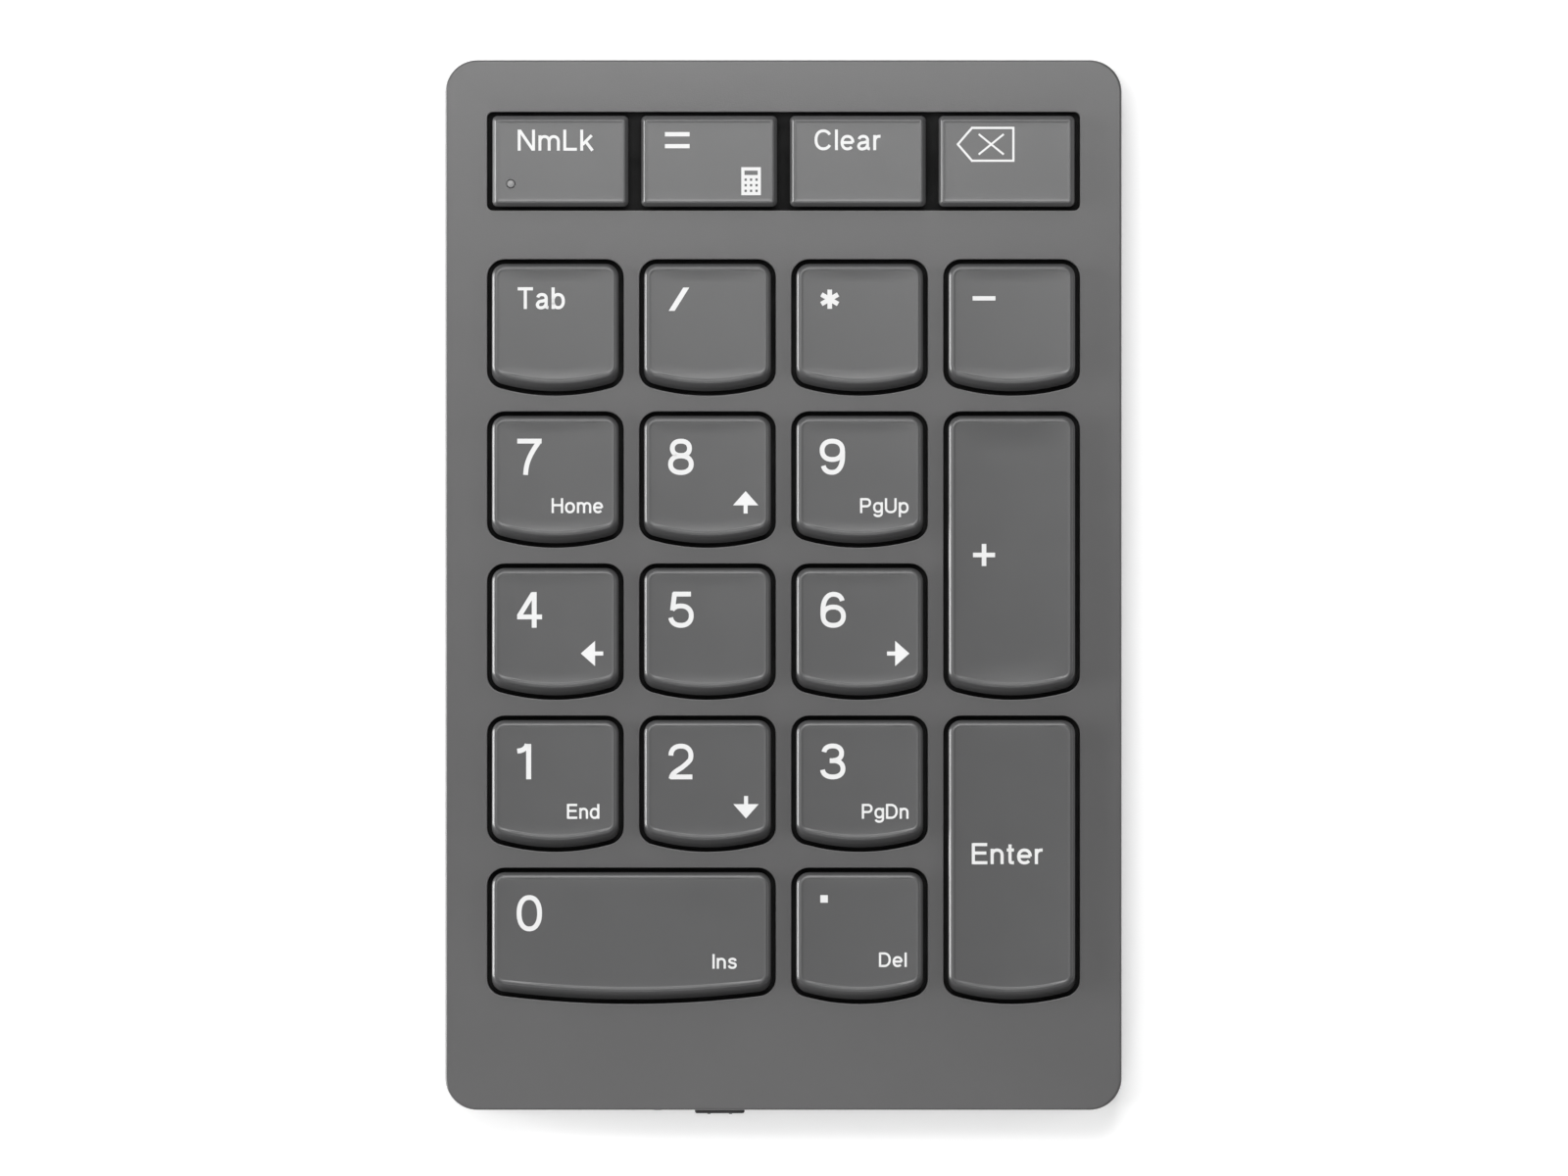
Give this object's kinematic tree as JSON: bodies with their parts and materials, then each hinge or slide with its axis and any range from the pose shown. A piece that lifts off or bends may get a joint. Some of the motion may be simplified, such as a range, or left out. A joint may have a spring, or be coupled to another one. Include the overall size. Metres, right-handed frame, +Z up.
{
  "type": "numeric keypad",
  "caption": "Slim wireless numeric keypad: flat slab case with low scissor keys in separate openings, a function row, and a mode slider and button in the front edge.",
  "frame": {"origin": "on the desk under the middle of the case", "axes": "+X to the user's right, +Y away from the user along the case's length, +Z up out of the keys"},
  "size_m": [0.0848, 0.1321, 0.0122],
  "materials": {
    "case_plastic": "fine satin texture, neutral grey",
    "key_plastic": "smooth satin with light printed legends",
    "base_plastic": "fine matt texture",
    "lever_plastic": "smooth",
    "screw_steel": "zinc plated",
    "foot_rubber": "matt",
    "plate_steel": "black coated",
    "dome_silicone": "matt translucent",
    "membrane_film": "printed film",
    "board_laminate": "solder resist",
    "battery_foil": "foil pouch",
    "socket_steel": "drawn shell",
    "control_plastic": "satin, two ribs",
    "button_plastic": "satin",
    "lens_plastic": "translucent"
  },
  "bodies": {
    "case": {"top_cover": "case_plastic", "bottom_cover": "base_plastic", "foot_front": "foot_rubber", "foot_rear": "foot_rubber", "key_plate": "plate_steel", "dome_sheet": "dome_silicone", "contact_membrane": "membrane_film", "circuit_board": "board_laminate", "battery": "battery_foil", "charging_socket": "socket_steel", "screw_front_left": "screw_steel", "screw_front_right": "screw_steel", "screw_rear_left": "screw_steel", "screw_rear_right": "screw_steel"},
    "key_num_lock": {"keycap_num_lock": "key_plastic", "num_lock_lens": "lens_plastic"},
    "lever_num_lock": {"scissor_lever_num_lock": "lever_plastic"},
    "key_equals": {"keycap_equals": "key_plastic"},
    "lever_equals": {"scissor_lever_equals": "lever_plastic"},
    "key_clear": {"keycap_clear": "key_plastic"},
    "lever_clear": {"scissor_lever_clear": "lever_plastic"},
    "key_backspace": {"keycap_backspace": "key_plastic"},
    "lever_backspace": {"scissor_lever_backspace": "lever_plastic"},
    "key_tab": {"keycap_tab": "key_plastic"},
    "lever_tab": {"scissor_lever_tab": "lever_plastic"},
    "key_divide": {"keycap_divide": "key_plastic"},
    "lever_divide": {"scissor_lever_divide": "lever_plastic"},
    "key_multiply": {"keycap_multiply": "key_plastic"},
    "lever_multiply": {"scissor_lever_multiply": "lever_plastic"},
    "key_minus": {"keycap_minus": "key_plastic"},
    "lever_minus": {"scissor_lever_minus": "lever_plastic"},
    "key_7": {"keycap_7": "key_plastic"},
    "lever_7": {"scissor_lever_7": "lever_plastic"},
    "key_8": {"keycap_8": "key_plastic"},
    "lever_8": {"scissor_lever_8": "lever_plastic"},
    "key_9": {"keycap_9": "key_plastic"},
    "lever_9": {"scissor_lever_9": "lever_plastic"},
    "key_4": {"keycap_4": "key_plastic"},
    "lever_4": {"scissor_lever_4": "lever_plastic"},
    "key_5": {"keycap_5": "key_plastic"},
    "lever_5": {"scissor_lever_5": "lever_plastic"},
    "key_6": {"keycap_6": "key_plastic"},
    "lever_6": {"scissor_lever_6": "lever_plastic"},
    "key_1": {"keycap_1": "key_plastic"},
    "lever_1": {"scissor_lever_1": "lever_plastic"},
    "key_2": {"keycap_2": "key_plastic"},
    "lever_2": {"scissor_lever_2": "lever_plastic"},
    "key_3": {"keycap_3": "key_plastic"},
    "lever_3": {"scissor_lever_3": "lever_plastic"},
    "key_0": {"keycap_0": "key_plastic"},
    "lever_0": {"scissor_lever_0": "lever_plastic"},
    "key_decimal": {"keycap_decimal": "key_plastic"},
    "lever_decimal": {"scissor_lever_decimal": "lever_plastic"},
    "key_plus": {"keycap_plus": "key_plastic"},
    "lever_plus": {"scissor_lever_plus": "lever_plastic"},
    "key_enter": {"keycap_enter": "key_plastic"},
    "lever_enter": {"scissor_lever_enter": "lever_plastic"},
    "mode_slider": {"mode_slider": "control_plastic"},
    "pairing_button": {"pairing_button": "button_plastic"}
  },
  "joints": [
    {"name": "key_num_lock_press", "type": "slide", "parent": "case", "child": "key_num_lock", "axis": [0, 0, -1], "range_m": [0, 0.0018], "stiffness_N_per_m": 300, "deforming": ["dome_sheet"]},
    {"name": "key_equals_press", "type": "slide", "parent": "case", "child": "key_equals", "axis": [0, 0, -1], "range_m": [0, 0.0018], "stiffness_N_per_m": 300, "deforming": ["dome_sheet"]},
    {"name": "key_clear_press", "type": "slide", "parent": "case", "child": "key_clear", "axis": [0, 0, -1], "range_m": [0, 0.0018], "stiffness_N_per_m": 300, "deforming": ["dome_sheet"]},
    {"name": "key_backspace_press", "type": "slide", "parent": "case", "child": "key_backspace", "axis": [0, 0, -1], "range_m": [0, 0.0018], "stiffness_N_per_m": 300, "deforming": ["dome_sheet"]},
    {"name": "key_tab_press", "type": "slide", "parent": "case", "child": "key_tab", "axis": [0, 0, -1], "range_m": [0, 0.0018], "stiffness_N_per_m": 300, "deforming": ["dome_sheet"]},
    {"name": "key_divide_press", "type": "slide", "parent": "case", "child": "key_divide", "axis": [0, 0, -1], "range_m": [0, 0.0018], "stiffness_N_per_m": 300, "deforming": ["dome_sheet"]},
    {"name": "key_multiply_press", "type": "slide", "parent": "case", "child": "key_multiply", "axis": [0, 0, -1], "range_m": [0, 0.0018], "stiffness_N_per_m": 300, "deforming": ["dome_sheet"]},
    {"name": "key_minus_press", "type": "slide", "parent": "case", "child": "key_minus", "axis": [0, 0, -1], "range_m": [0, 0.0018], "stiffness_N_per_m": 300, "deforming": ["dome_sheet"]},
    {"name": "key_7_press", "type": "slide", "parent": "case", "child": "key_7", "axis": [0, 0, -1], "range_m": [0, 0.0018], "stiffness_N_per_m": 300, "deforming": ["dome_sheet"]},
    {"name": "key_8_press", "type": "slide", "parent": "case", "child": "key_8", "axis": [0, 0, -1], "range_m": [0, 0.0018], "stiffness_N_per_m": 300, "deforming": ["dome_sheet"]},
    {"name": "key_9_press", "type": "slide", "parent": "case", "child": "key_9", "axis": [0, 0, -1], "range_m": [0, 0.0018], "stiffness_N_per_m": 300, "deforming": ["dome_sheet"]},
    {"name": "key_4_press", "type": "slide", "parent": "case", "child": "key_4", "axis": [0, 0, -1], "range_m": [0, 0.0018], "stiffness_N_per_m": 300, "deforming": ["dome_sheet"]},
    {"name": "key_5_press", "type": "slide", "parent": "case", "child": "key_5", "axis": [0, 0, -1], "range_m": [0, 0.0018], "stiffness_N_per_m": 300, "deforming": ["dome_sheet"]},
    {"name": "key_6_press", "type": "slide", "parent": "case", "child": "key_6", "axis": [0, 0, -1], "range_m": [0, 0.0018], "stiffness_N_per_m": 300, "deforming": ["dome_sheet"]},
    {"name": "key_1_press", "type": "slide", "parent": "case", "child": "key_1", "axis": [0, 0, -1], "range_m": [0, 0.0018], "stiffness_N_per_m": 300, "deforming": ["dome_sheet"]},
    {"name": "key_2_press", "type": "slide", "parent": "case", "child": "key_2", "axis": [0, 0, -1], "range_m": [0, 0.0018], "stiffness_N_per_m": 300, "deforming": ["dome_sheet"]},
    {"name": "key_3_press", "type": "slide", "parent": "case", "child": "key_3", "axis": [0, 0, -1], "range_m": [0, 0.0018], "stiffness_N_per_m": 300, "deforming": ["dome_sheet"]},
    {"name": "key_0_press", "type": "slide", "parent": "case", "child": "key_0", "axis": [0, 0, -1], "range_m": [0, 0.0018], "stiffness_N_per_m": 300, "deforming": ["dome_sheet"]},
    {"name": "key_decimal_press", "type": "slide", "parent": "case", "child": "key_decimal", "axis": [0, 0, -1], "range_m": [0, 0.0018], "stiffness_N_per_m": 300, "deforming": ["dome_sheet"]},
    {"name": "key_plus_press", "type": "slide", "parent": "case", "child": "key_plus", "axis": [0, 0, -1], "range_m": [0, 0.0018], "stiffness_N_per_m": 300, "deforming": ["dome_sheet"]},
    {"name": "key_enter_press", "type": "slide", "parent": "case", "child": "key_enter", "axis": [0, 0, -1], "range_m": [0, 0.0018], "stiffness_N_per_m": 300, "deforming": ["dome_sheet"]},
    {"name": "lever_num_lock_tilt", "type": "hinge", "parent": "case", "child": "lever_num_lock", "pos_m": [-0.03273, 0.05308, 0.00835], "axis": [0, 1, 0], "range_deg": [0, 10.9]},
    {"name": "lever_equals_tilt", "type": "hinge", "parent": "case", "child": "lever_equals", "pos_m": [-0.01411, 0.05308, 0.00835], "axis": [0, 1, 0], "range_deg": [0, 10.9]},
    {"name": "lever_clear_tilt", "type": "hinge", "parent": "case", "child": "lever_clear", "pos_m": [0.00451, 0.05308, 0.00835], "axis": [0, 1, 0], "range_deg": [0, 10.9]},
    {"name": "lever_backspace_tilt", "type": "hinge", "parent": "case", "child": "lever_backspace", "pos_m": [0.02313, 0.05308, 0.00835], "axis": [0, 1, 0], "range_deg": [0, 10.9]},
    {"name": "lever_tab_tilt", "type": "hinge", "parent": "case", "child": "lever_tab", "pos_m": [-0.02857, 0.03706, 0.00835], "axis": [1, 0, 0], "range_deg": [0, 10.9]},
    {"name": "lever_divide_tilt", "type": "hinge", "parent": "case", "child": "lever_divide", "pos_m": [-0.00953, 0.03706, 0.00835], "axis": [1, 0, 0], "range_deg": [0, 10.9]},
    {"name": "lever_multiply_tilt", "type": "hinge", "parent": "case", "child": "lever_multiply", "pos_m": [0.00953, 0.03706, 0.00835], "axis": [1, 0, 0], "range_deg": [0, 10.9]},
    {"name": "lever_minus_tilt", "type": "hinge", "parent": "case", "child": "lever_minus", "pos_m": [0.02857, 0.03706, 0.00835], "axis": [1, 0, 0], "range_deg": [0, 10.9]},
    {"name": "lever_7_tilt", "type": "hinge", "parent": "case", "child": "lever_7", "pos_m": [-0.02857, 0.01801, 0.00835], "axis": [1, 0, 0], "range_deg": [0, 10.9]},
    {"name": "lever_8_tilt", "type": "hinge", "parent": "case", "child": "lever_8", "pos_m": [-0.00953, 0.01801, 0.00835], "axis": [1, 0, 0], "range_deg": [0, 10.9]},
    {"name": "lever_9_tilt", "type": "hinge", "parent": "case", "child": "lever_9", "pos_m": [0.00953, 0.01801, 0.00835], "axis": [1, 0, 0], "range_deg": [0, 10.9]},
    {"name": "lever_4_tilt", "type": "hinge", "parent": "case", "child": "lever_4", "pos_m": [-0.02857, -0.00104, 0.00835], "axis": [1, 0, 0], "range_deg": [0, 10.9]},
    {"name": "lever_5_tilt", "type": "hinge", "parent": "case", "child": "lever_5", "pos_m": [-0.00953, -0.00104, 0.00835], "axis": [1, 0, 0], "range_deg": [0, 10.9]},
    {"name": "lever_6_tilt", "type": "hinge", "parent": "case", "child": "lever_6", "pos_m": [0.00953, -0.00104, 0.00835], "axis": [1, 0, 0], "range_deg": [0, 10.9]},
    {"name": "lever_1_tilt", "type": "hinge", "parent": "case", "child": "lever_1", "pos_m": [-0.02857, -0.02009, 0.00835], "axis": [1, 0, 0], "range_deg": [0, 10.9]},
    {"name": "lever_2_tilt", "type": "hinge", "parent": "case", "child": "lever_2", "pos_m": [-0.00953, -0.02009, 0.00835], "axis": [1, 0, 0], "range_deg": [0, 10.9]},
    {"name": "lever_3_tilt", "type": "hinge", "parent": "case", "child": "lever_3", "pos_m": [0.00953, -0.02009, 0.00835], "axis": [1, 0, 0], "range_deg": [0, 10.9]},
    {"name": "lever_0_tilt", "type": "hinge", "parent": "case", "child": "lever_0", "pos_m": [-0.01905, -0.03914, 0.00835], "axis": [1, 0, 0], "range_deg": [0, 10.9]},
    {"name": "lever_decimal_tilt", "type": "hinge", "parent": "case", "child": "lever_decimal", "pos_m": [0.00953, -0.03914, 0.00835], "axis": [1, 0, 0], "range_deg": [0, 10.9]},
    {"name": "lever_plus_tilt", "type": "hinge", "parent": "case", "child": "lever_plus", "pos_m": [0.02378, 0.00368, 0.00835], "axis": [0, 1, 0], "range_deg": [0, 10.9]},
    {"name": "lever_enter_tilt", "type": "hinge", "parent": "case", "child": "lever_enter", "pos_m": [0.02378, -0.03442, 0.00835], "axis": [0, 1, 0], "range_deg": [0, 10.9]},
    {"name": "mode_slider_slide", "type": "slide", "parent": "case", "child": "mode_slider", "axis": [1, 0, 0], "range_m": [-0.0015, 0.0015]},
    {"name": "pairing_button_press", "type": "slide", "parent": "case", "child": "pairing_button", "axis": [0, 1, 0], "range_m": [0, 0.0003], "stiffness_N_per_m": 500}
  ],
  "couplings": [
    {"joint": "lever_num_lock_tilt", "follows": "key_num_lock_press", "rad_per_m": 105.38},
    {"joint": "lever_equals_tilt", "follows": "key_equals_press", "rad_per_m": 105.38},
    {"joint": "lever_clear_tilt", "follows": "key_clear_press", "rad_per_m": 105.38},
    {"joint": "lever_backspace_tilt", "follows": "key_backspace_press", "rad_per_m": 105.38},
    {"joint": "lever_tab_tilt", "follows": "key_tab_press", "rad_per_m": 105.38},
    {"joint": "lever_divide_tilt", "follows": "key_divide_press", "rad_per_m": 105.38},
    {"joint": "lever_multiply_tilt", "follows": "key_multiply_press", "rad_per_m": 105.38},
    {"joint": "lever_minus_tilt", "follows": "key_minus_press", "rad_per_m": 105.38},
    {"joint": "lever_7_tilt", "follows": "key_7_press", "rad_per_m": 105.38},
    {"joint": "lever_8_tilt", "follows": "key_8_press", "rad_per_m": 105.38},
    {"joint": "lever_9_tilt", "follows": "key_9_press", "rad_per_m": 105.38},
    {"joint": "lever_4_tilt", "follows": "key_4_press", "rad_per_m": 105.38},
    {"joint": "lever_5_tilt", "follows": "key_5_press", "rad_per_m": 105.38},
    {"joint": "lever_6_tilt", "follows": "key_6_press", "rad_per_m": 105.38},
    {"joint": "lever_1_tilt", "follows": "key_1_press", "rad_per_m": 105.38},
    {"joint": "lever_2_tilt", "follows": "key_2_press", "rad_per_m": 105.38},
    {"joint": "lever_3_tilt", "follows": "key_3_press", "rad_per_m": 105.38},
    {"joint": "lever_0_tilt", "follows": "key_0_press", "rad_per_m": 105.38},
    {"joint": "lever_decimal_tilt", "follows": "key_decimal_press", "rad_per_m": 105.38},
    {"joint": "lever_plus_tilt", "follows": "key_plus_press", "rad_per_m": 105.38},
    {"joint": "lever_enter_tilt", "follows": "key_enter_press", "rad_per_m": 105.38}
  ]
}
